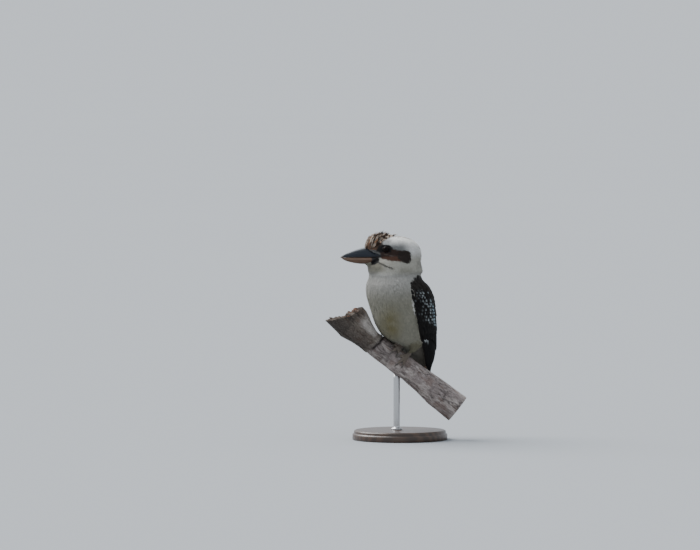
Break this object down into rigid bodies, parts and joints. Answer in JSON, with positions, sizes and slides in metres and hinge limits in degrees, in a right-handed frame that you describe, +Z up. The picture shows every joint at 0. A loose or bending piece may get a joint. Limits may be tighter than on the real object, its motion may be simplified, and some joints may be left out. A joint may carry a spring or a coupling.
{
  "type": "laughing kookaburra model on a branch perch",
  "caption": "Life-size still model of a laughing kookaburra gripping a sloping cut branch, held by a round display stand with a rod.",
  "frame": {"origin": "centre of the stand base's underside", "axes": "+Z up; +X the level direction in which the branch slopes down; +Y away from the picture's viewer; the bill points towards -X"},
  "size_m": [0.2611, 0.176, 0.3902],
  "materials": {
    "pale_feather": "soft matt feather, cream to grey-white",
    "rufous_feather": "soft matt feather, rufous brown",
    "dark_feather": "soft satin feather, blackish brown",
    "slate_bill": "satin horn, slate blue-black",
    "horn_bill": "satin horn, pinkish tan",
    "eye": "wet gloss, dark brown",
    "foot_skin": "scaly matt skin, olive grey",
    "claw_horn": "satin dark horn",
    "bark": "rough weathered grey-brown bark",
    "base_wood": "satin dark stained wood",
    "rod_steel": "satin turned steel"
  },
  "bodies": {
    "root": {"bill_lower": "horn_bill", "bill_upper": "slate_bill", "claw_left_hind": "claw_horn", "claw_left_inner": "claw_horn", "claw_left_middle": "claw_horn", "claw_left_outer": "claw_horn", "claw_right_hind": "claw_horn", "claw_right_inner": "claw_horn", "claw_right_middle": "claw_horn", "claw_right_outer": "claw_horn", "crest": "rufous_feather", "eye_left": "eye", "eye_right": "eye", "foot_left": "foot_skin", "foot_right": "foot_skin", "head": "pale_feather", "neck": "pale_feather", "perch": "bark", "stand_base": "base_wood", "stand_rod": "rod_steel", "tail": "rufous_feather", "thigh_left": "pale_feather", "thigh_right": "pale_feather", "trunk": "pale_feather", "wing_left": "dark_feather", "wing_right": "dark_feather"}
  },
  "joints": []
}
